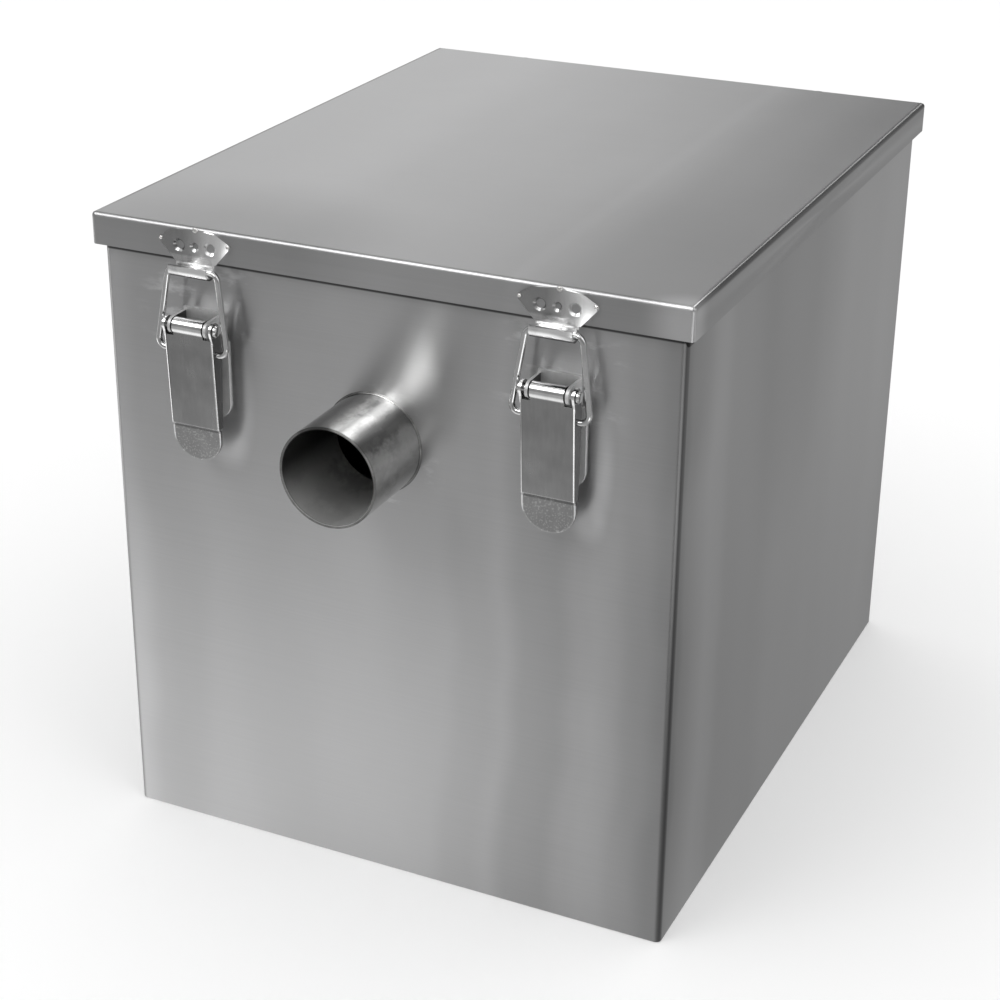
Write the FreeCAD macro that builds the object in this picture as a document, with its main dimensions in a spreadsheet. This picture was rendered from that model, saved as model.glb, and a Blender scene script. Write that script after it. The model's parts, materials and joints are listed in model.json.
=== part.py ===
"""A small under-counter grease trap in stainless-steel sheet.

Waste water enters through the front pipe, drops through a strainer basket, runs over a weir,
passes under a hanging baffle and leaves through a dip tube and the back pipe. The lid lifts off
once four over-centre toggle latches are undone.

Frame: origin at the centre of the tank's underside, +Z up, the inlet on the -Y side.
Sizes are in millimetres.
"""
import FreeCAD, Part
import math
import os
import re

from FreeCAD import Placement, Rotation, Vector
from Sketcher import Constraint

SIZES = {
    # sheet metal and the outer box
    "lid_width": 308,
    "lid_depth": 378,
    "overall_height": 332,
    "lid_skirt": 16,
    "lid_overhang": 4,
    "lid_bend": 2,
    "sheet": 1.5,
    "tank_bend": 3,
    "bottom_edge": 0.8,
    "rim_width": 14,
    "gasket_width": 10,
    "gasket_height": 3,
    # pipes
    "pipe_diameter": 50,
    "pipe_wall": 1.5,
    "pipe_projection": 45,
    "pipe_inside": 5,
    "inlet_height": 238,
    "inlet_offset": -4,
    "outlet_drop": 12,
    "weld_leg": 0.8,
    "pipe_gap": 0.2,
    # dip tube
    "dip_diameter": 64,
    "dip_wall_gap": 5,
    "dip_above": 48,
    "dip_floor_gap": 60,
    # baffles
    "weir_position": 66,
    "weir_height": 178,
    "hanging_position": -56,
    "hanging_top_gap": 45,
    "hanging_floor_gap": 55,
    "baffle_hem": 12,
    "hem_end_gap": 6,
    # strainer basket
    "basket_wall_gap": 10,
    "basket_side_gap": 1,
    "basket_length": 96,
    "basket_depth": 92,
    "basket_sheet": 1,
    "basket_rim": 8,
    "basket_bend": 6,
    "basket_drop": 4,
    "slot_width": 5,
    "wall_slot_length": 52,
    "floor_slot_length": 26,
    "slot_columns": 14,
    "edge_margin": 14,
    "rail_leg": 16,
    "rail_sheet": 2,
    "handle_rise": 52,
    "handle_strap": 14,
    "handle_sheet": 2,
    "handle_bend": 8,
    "handle_inset": 1,
    # latches: place and mechanism
    "latch_inset": 57,
    "latch_offset": -2.2,
    "pin_stand_off": 12,
    "pin_diameter": 4.2,
    "running_gap": 0.06,
    "side_gap": 0.3,
    "bail_arm": 12.5,
    "over_centre": 4,
    "bail_length": 39.5,
    # latch base plate
    "plate_width": 27,
    "plate_sheet": 1.2,
    "plate_bottom": 50,
    "plate_shoulder": 9,
    "plate_top": 5.5,
    "plate_corner": 9,
    "ear_sheet": 1.5,
    "ear_radius": 4,
    "ear_inner": 9,
    "ear_flare": 1,
    # latch lever
    "lever_width": 26.8,
    "lever_sheet": 1.2,
    "lever_length": 51,
    "lever_bottom_stand_off": 12.4,
    "barrel_diameter": 8,
    "barrel_proud": 1.2,
    "barrel_length": 16.4,
    "window_height": 4.4,
    "flange_top_stand_off": 6.6,
    "flange_bottom_stand_off": 8.4,
    "flange_heel": 18,
    "flange_neck": 8,
    "step_height": 1.2,
    "step_depth": 1.3,
    "tongue_length": 17.5,
    "tongue_lean": 1.2,
    "tongue_flat": 0.3,
    "step_shift": 0.3,
    "lever_fold": 1.1,
    "pin_head": 1.3,
    "pin_head_diameter": 6,
    # latch bail
    "wire_diameter": 3,
    "bail_bend": 4,
    "bail_top_half": 14,
    "bail_foot_half": 18.7,
    "bail_end_proud": 1,
    # latch keeper
    "keeper_sheet": 1.3,
    "keeper_top_gap": 0.6,
    "keeper_half_width": 18.7,
    "keeper_shoulder_half": 12,
    "keeper_shoulder_drop": 1,
    "keeper_ear_drop": 4.8,
    "keeper_ear_flat": 3,
    "keeper_neck_drop": 16.7,
    "keeper_neck_half": 11.2,
    "keeper_round": 8,
    "hook_radius": 3.2,
    "hook_drop": 2,
    "hook_lip": 5,
    "hook_seat": 0.3,
    "hook_setback": 0.5,
    "hook_half": 10.4,
    "keeper_hole_drop": 9.2,
    "keeper_hole_pitch": 8.4,
    "keeper_hole": 4.2,
    "keeper_middle_hole": 2.6,
    "countersink": 1.1,
}

doc = FreeCAD.newDocument("grease_trap")
sheet = doc.addObject("Spreadsheet::Sheet", "Sizes")
for row, (alias, size) in enumerate(SIZES.items(), 1):
    sheet.set("A%d" % row, alias)
    sheet.set("B%d" % row, str(size))
    sheet.setAlias("B%d" % row, alias)
doc.recompute()


def formula(text):
    """A formula on the sizes, as an expression that names the sheet's cells."""
    def cell(word):
        return "Sizes." + word.group() if word.group() in SIZES else word.group()
    return re.sub(r"[a-z_]+", cell, text)


def value(text):
    """The number that a formula on the sizes gives."""
    return float(FreeCAD.Units.Quantity(sheet.evalExpression(formula(text))).Value)


# Derived sizes, each a formula on the sheet.
TANK_WIDTH = "(lid_width - 2 * lid_overhang)"
TANK_DEPTH = "(lid_depth - 2 * lid_overhang)"
TANK_HEIGHT = "(overall_height - sheet - gasket_height)"
INSIDE_WIDTH = "(%s - 2 * sheet)" % TANK_WIDTH
WALL_INSIDE = "(%s / 2 - sheet)" % TANK_DEPTH
PIPE_RADIUS = "(pipe_diameter / 2)"
OUTLET_HEIGHT = "(inlet_height - outlet_drop)"
DIP_RADIUS = "(dip_diameter / 2)"
DIP_MIDDLE = "(%s - dip_wall_gap - %s)" % (WALL_INSIDE, DIP_RADIUS)
SADDLE = "sqrt((%s - pipe_wall) ^ 2 - %s ^ 2)" % (DIP_RADIUS, PIPE_RADIUS)
OUTLET_INSIDE = "(dip_wall_gap + %s - %s + pipe_wall)" % (DIP_RADIUS, SADDLE)
BASKET_TOP = "(inlet_height - %s - basket_drop)" % PIPE_RADIUS
BASKET_WIDTH = "(%s - 2 * rail_leg - 2 * basket_side_gap)" % INSIDE_WIDTH
BASKET_MIDDLE = "(basket_wall_gap + basket_rim + basket_length / 2 - %s)" % WALL_INSIDE
RIM_LENGTH = "(basket_length + 2 * basket_rim)"
PIN_RADIUS = "(pin_diameter / 2)"
BORE_RADIUS = "(pin_diameter / 2 + running_gap)"
BARREL_RADIUS = "(barrel_diameter / 2)"
LEVER_HALF = "(lever_width / 2)"
PIVOT_OUT = "(pin_stand_off - bail_arm * sin(over_centre * 1 deg))"
PIVOT_DROP = "(bail_arm * cos(over_centre * 1 deg))"
WIRE_RADIUS = "(wire_diameter / 2)"
HOOK_OUT = "(lid_overhang + keeper_sheet + hook_radius)"
BAR_OUT = "(%s - hook_setback)" % HOOK_OUT
BAIL_LEAN = "asin((%s - %s) / bail_length)" % (BAR_OUT, PIVOT_OUT)
BAR_SINK = "sqrt((hook_radius - %s - hook_seat) ^ 2 - hook_setback ^ 2)" % WIRE_RADIUS
BAR_HEIGHT = "(overall_height - keeper_neck_drop - hook_drop - %s)" % BAR_SINK
LATCH_SPREAD = "(%s / 2 - latch_inset)" % TANK_WIDTH
LATCH_HEIGHT = "(%s - bail_length * cos(%s) + %s)" % (BAR_HEIGHT, BAIL_LEAN, PIVOT_DROP)

LEFT_AXIS = "H_Axis"


def new_body(name):
    """An empty body whose label names the sub-part."""
    body = doc.addObject("PartDesign::Body", name)
    body.Label = name
    return body


def new_sketch(body, role, offset="0", shift=("0", "0"), tilt=None):
    """A sketch on one of the body's origin planes, moved along the plane's normal by offset."""
    sketch = body.newObject("Sketcher::SketchObject", body.Name + "_sketch")
    plane = next(item for item in body.Origin.OriginFeatures if item.Role == role)
    sketch.AttachmentSupport = [(plane, "")]
    sketch.MapMode = "FlatFace"
    if tilt:
        sketch.AttachmentOffset = Placement(Vector(0, 0, 0), Rotation(Vector(1, 0, 0), 1))
        sketch.setExpression(".AttachmentOffset.Rotation.Angle", formula(tilt))
    sketch.setExpression(".AttachmentOffset.Base.x", formula(shift[0]))
    sketch.setExpression(".AttachmentOffset.Base.y", formula(shift[1]))
    sketch.setExpression(".AttachmentOffset.Base.z", formula(offset))
    return sketch


def pin_coordinate(sketch, axis, index, point, text):
    """Fix one coordinate of a sketch point, measured from the sketch's origin."""
    number = sketch.addConstraint(Constraint("Distance" + axis, -1, 1, index, point, value(text)))
    sketch.setExpression("Constraints[%d]" % number, formula(text))


def fix_size(sketch, kind, index, text):
    """Fix a radius in a sketch."""
    number = sketch.addConstraint(Constraint(kind, index, value(text)))
    sketch.setExpression("Constraints[%d]" % number, formula(text))


def add_outline(sketch, points, arcs=None):
    """A closed outline through points given as pairs of formulas.

    arcs maps the number of an edge to its centre's two formulas and True where it turns anticlockwise.
    """
    arcs = arcs or {}
    spots = [Vector(value(x), value(y), 0) for x, y in points]
    first = sketch.GeometryCount
    ends = []
    for number, start in enumerate(spots):
        end = spots[(number + 1) % len(spots)]
        if number not in arcs:
            sketch.addGeometry(Part.LineSegment(start, end), False)
            ends.append((1, 2))
            continue
        centre_x, centre_y, anticlockwise = arcs[number]
        centre = Vector(value(centre_x), value(centre_y), 0)
        circle = Part.Circle(centre, Vector(0, 0, 1), (start - centre).Length)
        begin, finish = (start, end) if anticlockwise else (end, start)
        angles = [math.atan2(spot.y - centre.y, spot.x - centre.x) for spot in (begin, finish)]
        sketch.addGeometry(Part.ArcOfCircle(circle, angles[0], angles[1]), False)
        ends.append((1, 2) if anticlockwise else (2, 1))
    for number, (x, y) in enumerate(points):
        following = (number + 1) % len(points)
        sketch.addConstraint(
            Constraint("Coincident", first + number, ends[number][1], first + following, ends[following][0]))
        pin_coordinate(sketch, "X", first + number, ends[number][0], x)
        pin_coordinate(sketch, "Y", first + number, ends[number][0], y)
    for number, (centre_x, centre_y, anticlockwise) in arcs.items():
        chord = spots[(number + 1) % len(spots)] - spots[number]
        if abs(chord.x) > abs(chord.y):
            pin_coordinate(sketch, "Y", first + number, 3, centre_y)
        else:
            pin_coordinate(sketch, "X", first + number, 3, centre_x)


def add_rectangle(sketch, left, bottom, right, top):
    """A rectangle between two corners."""
    add_outline(sketch, [(left, bottom), (right, bottom), (right, top), (left, top)])


def add_block(sketch, width, depth):
    """A rectangle centred on the sketch's origin."""
    add_rectangle(sketch, "-%s / 2" % width, "-%s / 2" % depth, "%s / 2" % width, "%s / 2" % depth)


def add_circle(sketch, x, y, radius):
    """A circle held at a centre and a radius."""
    spot = Vector(value(x), value(y), 0)
    number = sketch.addGeometry(Part.Circle(spot, Vector(0, 0, 1), value(radius)), False)
    pin_coordinate(sketch, "X", number, 3, x)
    pin_coordinate(sketch, "Y", number, 3, y)
    fix_size(sketch, "Radius", number, radius)


def pad(body, sketch, length, both_ways=False, turned=False):
    """Material added along the sketch's normal."""
    feature = body.newObject("PartDesign::Pad", body.Name + "_pad")
    feature.Profile = sketch
    feature.setExpression("Length", formula(length))
    feature.SideType = "Symmetric" if both_ways else "One side"
    feature.Reversed = turned
    sketch.Visibility = False
    return feature


def pocket(body, sketch, length=None, both_ways=False, turned=False):
    """Material removed, right through where no length is given."""
    feature = body.newObject("PartDesign::Pocket", body.Name + "_pocket")
    feature.Profile = sketch
    if length:
        feature.setExpression("Length", formula(length))
    else:
        feature.Type = "ThroughAll"
    feature.SideType = "Symmetric" if both_ways else "One side"
    feature.Reversed = turned
    return feature


def revolve(body, sketch, axis):
    """A full turn of the sketch about one of its own axes."""
    feature = body.newObject("PartDesign::Revolution", body.Name + "_turn")
    feature.Profile = sketch
    feature.ReferenceAxis = (sketch, [axis])
    feature.Angle = 360
    return feature


def mirror(body, features):
    """The features copied to the other side of the body's middle plane."""
    feature = body.newObject("PartDesign::Mirrored", body.Name + "_mirror")
    feature.Originals = features
    middle = next(item for item in body.Origin.OriginFeatures if item.Role == "YZ_Plane")
    feature.MirrorPlane = (middle, [""])
    body.Tip = feature
    return feature


def edges_where(feature, test):
    """Names of the feature's edges that pass a test of their two ends and their middle."""
    doc.recompute()
    names = []
    for number, edge in enumerate(feature.Shape.Edges, 1):
        ends = [vertex.Point for vertex in edge.Vertexes]
        if test(edge, ends):
            names.append("Edge%d" % number)
    return names


def round_edges(body, feature, radius, test):
    """Round the edges that pass the test."""
    names = edges_where(feature, test)
    rounding = body.newObject("PartDesign::Fillet", body.Name + "_round")
    rounding.Base = (feature, names)
    rounding.setExpression("Radius", formula(radius))
    return rounding


def bevel_edges(body, feature, size, test):
    """Bevel the edges that pass the test."""
    names = edges_where(feature, test)
    bevel = body.newObject("PartDesign::Chamfer", body.Name + "_bevel")
    bevel.Base = (feature, names)
    bevel.setExpression("Size", formula(size))
    return bevel


def hollow(body, feature, thickness, upward):
    """Shell the feature inwards and leave out its top or bottom face."""
    doc.recompute()
    faces = list(enumerate(feature.Shape.Faces, 1))
    level = [(face.CenterOfMass.z, number) for number, face in faces if abs(face.normalAt(0, 0).z) > 0.99]
    open_face = max(level) if upward else min(level)
    shell = body.newObject("PartDesign::Thickness", body.Name + "_shell")
    shell.Base = (feature, ["Face%d" % open_face[1]])
    shell.setExpression("Value", formula(thickness))
    shell.Reversed = True
    return shell


def is_along(axis):
    """A test for straight edges that run along X, Y or Z."""
    def test(edge, ends):
        if len(ends) != 2:
            return False
        run = ends[1] - ends[0]
        return run.Length > 0.01 and abs(abs(getattr(run, axis)) - run.Length) < 1e-6
    return test


def is_level_at(height):
    """A test for edges whose two ends lie at a height."""
    def test(edge, ends):
        return len(ends) == 2 and all(abs(end.z - height) < 1e-6 for end in ends)
    return test


def seat(body, x="0", y="0", z="0", turned=False):
    """Put a body at its place in the trap, turned half round where it is at the back."""
    body.Placement = Placement(Vector(0, 0, 0), Rotation(Vector(0, 0, 1), 180 if turned else 0))
    for axis, text in (("x", x), ("y", y), ("z", z)):
        body.setExpression(".Placement.Base." + axis, formula(text))


def tank_shell():
    """The open tank with its inward rim and a hole for each pipe."""
    body = new_body("tank_shell")
    sketch = new_sketch(body, "XY_Plane")
    add_block(sketch, TANK_WIDTH, TANK_DEPTH)
    block = pad(body, sketch, TANK_HEIGHT)
    block = round_edges(body, block, "tank_bend", is_along("z"))
    shell = hollow(body, block, "sheet", upward=True)
    round_edges(body, shell, "bottom_edge", is_level_at(0))
    rim = new_sketch(body, "XY_Plane", offset=TANK_HEIGHT)
    add_block(rim, INSIDE_WIDTH, "(2 * %s)" % WALL_INSIDE)
    add_block(rim, "(%s - 2 * rim_width)" % TANK_WIDTH, "(%s - 2 * rim_width)" % TANK_DEPTH)
    pad(body, rim, "sheet", turned=True)
    for height, turned in (("inlet_height", True), (OUTLET_HEIGHT, False)):
        opening = new_sketch(body, "XZ_Plane")
        add_circle(opening, "inlet_offset", height, "(%s + pipe_gap)" % PIPE_RADIUS)
        pocket(body, opening, turned=turned)
    return body


def lid():
    """The flat lid with a skirt folded down all round."""
    body = new_body("lid")
    sketch = new_sketch(body, "XY_Plane")
    add_block(sketch, "lid_width", "lid_depth")
    block = pad(body, sketch, "lid_skirt", turned=True)
    block = round_edges(body, block, "lid_bend", is_along("z"))
    block = round_edges(body, block, "lid_bend", is_level_at(0))
    hollow(body, block, "sheet", upward=False)
    seat(body, z="overall_height")
    return body


def lid_gasket():
    """The rubber strip between the tank's rim and the lid."""
    body = new_body("lid_gasket")
    sketch = new_sketch(body, "XY_Plane")
    margin = "(rim_width - gasket_width)"
    add_block(sketch, "(%s - %s)" % (TANK_WIDTH, margin), "(%s - %s)" % (TANK_DEPTH, margin))
    inner = "(%s + 2 * gasket_width)" % margin
    add_block(sketch, "(%s - %s)" % (TANK_WIDTH, inner), "(%s - %s)" % (TANK_DEPTH, inner))
    pad(body, sketch, "gasket_height")
    seat(body, z=TANK_HEIGHT)
    return body


def pipe(name, inside, height, turned):
    """A tube through a wall, with the weld that holds it on the outside."""
    body = new_body(name)
    sketch = new_sketch(body, "YZ_Plane")
    bore = "(%s - pipe_wall)" % PIPE_RADIUS
    add_outline(sketch, [
        ("-pipe_projection", bore),
        ("sheet + %s" % inside, bore),
        ("sheet + %s" % inside, PIPE_RADIUS),
        ("0", PIPE_RADIUS),
        ("0", "%s + weld_leg" % PIPE_RADIUS),
        ("-weld_leg", PIPE_RADIUS),
        ("-pipe_projection", PIPE_RADIUS),
    ])
    revolve(body, sketch, LEFT_AXIS)
    side = "%s / 2" if turned else "-%s / 2"
    seat(body, x="inlet_offset", y=side % TANK_DEPTH, z=height, turned=turned)
    return body


def dip_tube():
    """The upright tube, open at both ends, that the outlet draws through."""
    body = new_body("outlet_dip_tube")
    sketch = new_sketch(body, "XY_Plane")
    add_circle(sketch, "0", "0", DIP_RADIUS)
    add_circle(sketch, "0", "0", "(%s - pipe_wall)" % DIP_RADIUS)
    pad(body, sketch, "%s + dip_above - dip_floor_gap" % OUTLET_HEIGHT)
    opening = new_sketch(body, "XZ_Plane")
    add_circle(opening, "0", "%s - dip_floor_gap" % OUTLET_HEIGHT, "(%s + pipe_gap)" % PIPE_RADIUS)
    pocket(body, opening, turned=False)
    seat(body, x="inlet_offset", y=DIP_MIDDLE, z="dip_floor_gap")
    return body


def baffle(name, position, bottom, top):
    """A plate across the tank with its free edge folded over."""
    body = new_body(name)
    sketch = new_sketch(body, "XZ_Plane")
    add_rectangle(sketch, "-%s / 2" % INSIDE_WIDTH, bottom, "%s / 2" % INSIDE_WIDTH, top)
    plate = pad(body, sketch, "sheet", both_ways=True)
    round_edges(body, plate, "tank_bend", is_along("y"))
    hem = new_sketch(body, "YZ_Plane")
    level = top if name == "weir_baffle" else bottom
    edge = "%s - sheet" % level if name == "weir_baffle" else level
    over = "%s" % level if name == "weir_baffle" else "%s + sheet" % level
    add_rectangle(hem, "0", edge, "baffle_hem", over)
    pad(body, hem, "%s - 2 * hem_end_gap" % INSIDE_WIDTH, both_ways=True)
    seat(body, y="-(%s)" % position)
    return body


def strainer_basket():
    """The lift-out basket, with slots in its floor and its two long walls."""
    body = new_body("strainer_basket")
    sketch = new_sketch(body, "XY_Plane")
    add_block(sketch, BASKET_WIDTH, "basket_length")
    block = pad(body, sketch, "basket_depth", turned=True)
    block = round_edges(body, block, "basket_bend", is_along("z"))
    block = round_edges(body, block, "basket_bend", is_level_at(-value("basket_depth")))
    hollow(body, block, "basket_sheet", upward=True)
    rim = new_sketch(body, "XY_Plane")
    add_block(rim, "(%s + 2 * basket_rim)" % BASKET_WIDTH, RIM_LENGTH)
    add_block(rim, "(%s - 2 * basket_sheet)" % BASKET_WIDTH, "(basket_length - 2 * basket_sheet)")
    pad(body, rim, "basket_sheet")
    run = "(%s - 2 * edge_margin)" % BASKET_WIDTH
    left = "-%s / 2 + edge_margin - slot_width / 2" % BASKET_WIDTH
    right = "-%s / 2 + edge_margin + slot_width / 2" % BASKET_WIDTH
    row_middle = "(basket_length / 4 - edge_margin / 4)"
    middle_height = "-basket_depth / 2"
    floor_slots = new_sketch(body, "XY_Plane", offset=middle_height)
    wall_slots = new_sketch(body, "XZ_Plane")
    for slots, middle, length in ((floor_slots, "-%s" % row_middle, "floor_slot_length"),
                                  (floor_slots, row_middle, "floor_slot_length"),
                                  (wall_slots, middle_height, "wall_slot_length")):
        low, high = ("%s %s %s / 2" % (middle, sign, length) for sign in "-+")
        add_rectangle(slots, left, low, right, high)
    for slots, both_ways in ((floor_slots, False), (wall_slots, True)):
        cut = pocket(body, slots, both_ways=both_ways)
        row = body.newObject("PartDesign::LinearPattern", slots.Name + "_row")
        row.Originals = [cut]
        row.Direction = (slots, [LEFT_AXIS])
        row.setExpression("Length", formula(run))
        row.setExpression("Occurrences", formula("slot_columns"))
        body.Tip = row
    seat(body, x="0", y=BASKET_MIDDLE, z=BASKET_TOP)
    return body


def basket_handle():
    """A strap bent into an arch, its feet on the basket's rim."""
    body = new_body("basket_handle")
    sketch = new_sketch(body, "XZ_Plane")
    foot = "(%s / 2 - basket_sheet)" % BASKET_WIDTH
    toe = "(%s / 2 + basket_rim - handle_inset)" % BASKET_WIDTH
    inner = "(%s - handle_sheet)" % foot
    add_outline(sketch, [
        ("-%s" % toe, "0"),
        ("-%s" % inner, "0"),
        ("-%s" % inner, "handle_rise - handle_sheet"),
        (inner, "handle_rise - handle_sheet"),
        (inner, "0"),
        (toe, "0"),
        (toe, "handle_sheet"),
        (foot, "handle_sheet"),
        (foot, "handle_rise"),
        ("-%s" % foot, "handle_rise"),
        ("-%s" % foot, "handle_sheet"),
        ("-%s" % toe, "handle_sheet"),
    ])
    strap = pad(body, sketch, "handle_strap", both_ways=True)
    for level, radius in (("handle_rise - handle_sheet", "handle_bend - handle_sheet"),
                          ("handle_rise", "handle_bend")):
        height = value(level)
        strap = round_edges(body, strap, radius, lambda edge, ends: (
            is_along("y")(edge, ends) and abs(ends[0].z - height) < 1e-6))
    seat(body, y=BASKET_MIDDLE, z="%s + basket_sheet" % BASKET_TOP)
    return body


def basket_rail(name, side):
    """An angle on a side wall that carries the basket's rim."""
    body = new_body(name)
    sketch = new_sketch(body, "XZ_Plane")
    wall = "%s%s / 2" % (side, INSIDE_WIDTH)
    toward = "-" if side == "+" else "+"
    tip = "%s %s rail_leg" % (wall, toward)
    face = "%s %s rail_sheet" % (wall, toward)
    add_outline(sketch, [
        (wall, "0"),
        (tip, "0"),
        (tip, "-rail_sheet"),
        (face, "-rail_sheet"),
        (face, "-rail_leg"),
        (wall, "-rail_leg"),
    ])
    pad(body, sketch, RIM_LENGTH, both_ways=True)
    seat(body, y=BASKET_MIDDLE, z=BASKET_TOP)
    return body


def latch_seat(body, x, turned):
    """Put a latch piece on the wall, with its own frame on the wall's face at the pin's height."""
    side = "%s / 2" if turned else "-%s / 2"
    seat(body, x=x, y=side % TANK_DEPTH, z=LATCH_HEIGHT, turned=turned)


def latch_base(name, x, turned):
    """The plate welded to the wall, with two ears bent out round the pin."""
    body = new_body(name + "_base_plate")
    sketch = new_sketch(body, "XZ_Plane")
    neck = "(ear_inner + ear_sheet)"
    add_outline(sketch, [
        ("-plate_width / 2", "-plate_bottom"),
        ("plate_width / 2", "-plate_bottom"),
        ("plate_width / 2", "-plate_shoulder"),
        (neck, "-plate_shoulder"),
        (neck, "plate_top"),
        ("-%s" % neck, "plate_top"),
        ("-%s" % neck, "-plate_shoulder"),
        ("-plate_width / 2", "-plate_shoulder"),
    ])
    plate = pad(body, sketch, "plate_sheet")
    bottom = -value("plate_bottom")
    round_edges(body, plate, "plate_corner",
                lambda edge, ends: is_along("y")(edge, ends) and abs(ends[0].z - bottom) < 1e-6)
    ear = new_sketch(body, "YZ_Plane", offset="ear_inner")
    add_outline(ear, [
        ("0", "-ear_radius - ear_flare"),
        ("0", "ear_radius"),
        ("-pin_stand_off", "ear_radius"),
        ("-pin_stand_off", "-ear_radius"),
        ("-plate_sheet", "-ear_radius - ear_flare"),
    ], {2: ("-pin_stand_off", "0", True)})
    ear_pad = pad(body, ear, "ear_sheet")
    mirror(body, [ear_pad])
    hole = new_sketch(body, "YZ_Plane")
    add_circle(hole, "-pin_stand_off", "0", BORE_RADIUS)
    pocket(body, hole, both_ways=True)
    latch_seat(body, x, turned)
    return body


def latch_pin(name, x, turned):
    """The pin with a closed head at each end."""
    body = new_body(name + "_pin")
    sketch = new_sketch(body, "XZ_Plane", offset="pin_stand_off")
    shoulder = "(%s + side_gap)" % LEVER_HALF
    end = "(%s + side_gap + pin_head)" % LEVER_HALF
    head = "(pin_head_diameter / 2)"
    rim = "(pin_head_diameter / 2 - pin_head / 2)"
    add_outline(sketch, [
        ("-%s" % end, "0"),
        (end, "0"),
        (end, rim),
        ("%s - pin_head / 2" % end, head),
        (shoulder, head),
        (shoulder, PIN_RADIUS),
        ("-%s" % shoulder, PIN_RADIUS),
        ("-%s" % shoulder, head),
        ("pin_head / 2 - %s" % end, head),
        ("-%s" % end, rim),
    ])
    revolve(body, sketch, LEFT_AXIS)
    latch_seat(body, x, turned)
    return body


def latch_lever(name, x, turned):
    """The lever: a shallow channel rolled into a barrel at the top, with a rounded tongue below."""
    body = new_body(name + "_lever")
    top_out = "(pin_stand_off + %s - barrel_proud)" % BARREL_RADIUS
    low_out = "lever_bottom_stand_off"
    step_out = "(lever_bottom_stand_off - step_depth)"
    tip_out = "(lever_bottom_stand_off - step_depth - tongue_lean)"
    tip = "-(lever_length + step_height + tongue_length)"
    plate = new_sketch(body, "YZ_Plane")
    add_outline(plate, [
        ("-%s" % top_out, "0"),
        ("-%s" % low_out, "-lever_length"),
        ("-%s" % step_out, "-lever_length - step_height"),
        ("-%s" % tip_out, tip),
        ("lever_sheet - %s" % tip_out, tip),
        ("lever_sheet - %s" % step_out, "-lever_length - step_height + step_shift"),
        ("lever_sheet - %s" % low_out, "-lever_length + step_shift"),
        ("lever_sheet - %s" % top_out, "0"),
    ])
    plate_pad = pad(body, plate, "lever_width", both_ways=True)
    low = value(tip)
    round_edges(body, plate_pad, "(lever_width - tongue_flat) / 2", lambda edge, ends: (
        len(ends) == 2 and all(abs(end.z - low) < 1e-6 for end in ends) and is_along("y")(edge, ends)))
    windows = new_sketch(body, "XZ_Plane")
    for sign in ("-", ""):
        add_rectangle(windows, "%sbarrel_length / 2" % sign, "-window_height",
                      "%s(%s + lever_sheet)" % (sign, LEVER_HALF), "lever_sheet")
    pocket(body, windows, both_ways=True)
    barrel = new_sketch(body, "YZ_Plane")
    add_circle(barrel, "-pin_stand_off", "0", BARREL_RADIUS)
    pad(body, barrel, "barrel_length", both_ways=True)
    flange = new_sketch(body, "YZ_Plane", offset="%s - lever_sheet" % LEVER_HALF)
    add_outline(flange, [
        ("-pin_stand_off - ear_radius", "0"),
        ("-pin_stand_off + ear_radius", "0"),
        ("-flange_top_stand_off", "-flange_neck"),
        ("-flange_top_stand_off", "-flange_heel"),
        ("-flange_bottom_stand_off", "-lever_length"),
        ("-%s" % low_out, "-lever_length"),
        ("-%s" % top_out, "-ear_radius"),
    ], {0: ("-pin_stand_off", "0", False)})
    flange_pad = pad(body, flange, "lever_sheet")
    channel = mirror(body, [flange_pad])
    side = value(LEVER_HALF)
    front = -value(low_out)
    round_edges(body, channel, "lever_fold", lambda edge, ends: (
        edge.Length > side and all(abs(abs(end.x) - side) < 1e-6 and end.y < front + 1e-6 for end in ends)))
    holes = new_sketch(body, "YZ_Plane")
    add_circle(holes, "-pin_stand_off", "0", BORE_RADIUS)
    add_circle(holes, "-%s" % PIVOT_OUT, "-%s" % PIVOT_DROP, "(%s + running_gap)" % WIRE_RADIUS)
    pocket(body, holes, both_ways=True)
    latch_seat(body, x, turned)
    return body


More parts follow.
